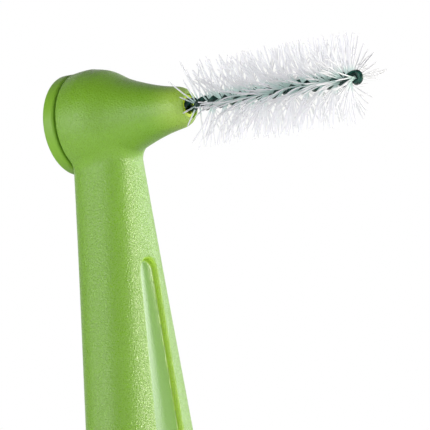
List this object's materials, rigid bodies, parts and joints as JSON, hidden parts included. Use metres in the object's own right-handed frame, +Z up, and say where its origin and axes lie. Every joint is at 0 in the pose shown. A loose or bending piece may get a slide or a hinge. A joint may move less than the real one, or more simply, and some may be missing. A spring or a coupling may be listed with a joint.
{
  "type": "interdental brush",
  "caption": "Interdental brush with a long slim handle, a right-angled barrel head, a press-in plug and a twisted coated wire full of fine white filaments.",
  "frame": {"origin": "centre of the flat back face of the plug's disc, on the brush's axis", "axes": "+X along the wire towards the brush's tip, +Z up along the handle towards the head, +Y across"},
  "size_m": [0.019, 0.0114, 0.1398],
  "materials": {
    "handle_plastic": "fine matte grain, as moulded, with a smoother recess floor",
    "plug_plastic": "smooth, slightly translucent moulded plastic",
    "steel_wire": "drawn stainless wire",
    "wire_coating": "smooth dark green plastic coating",
    "filaments": "clear white nylon filament"
  },
  "bodies": {
    "root": {"handle": "handle_plastic", "brush_plug": "plug_plastic", "wire_core": "steel_wire", "wire_coating": "wire_coating", "bristles": "filaments"}
  },
  "joints": []
}
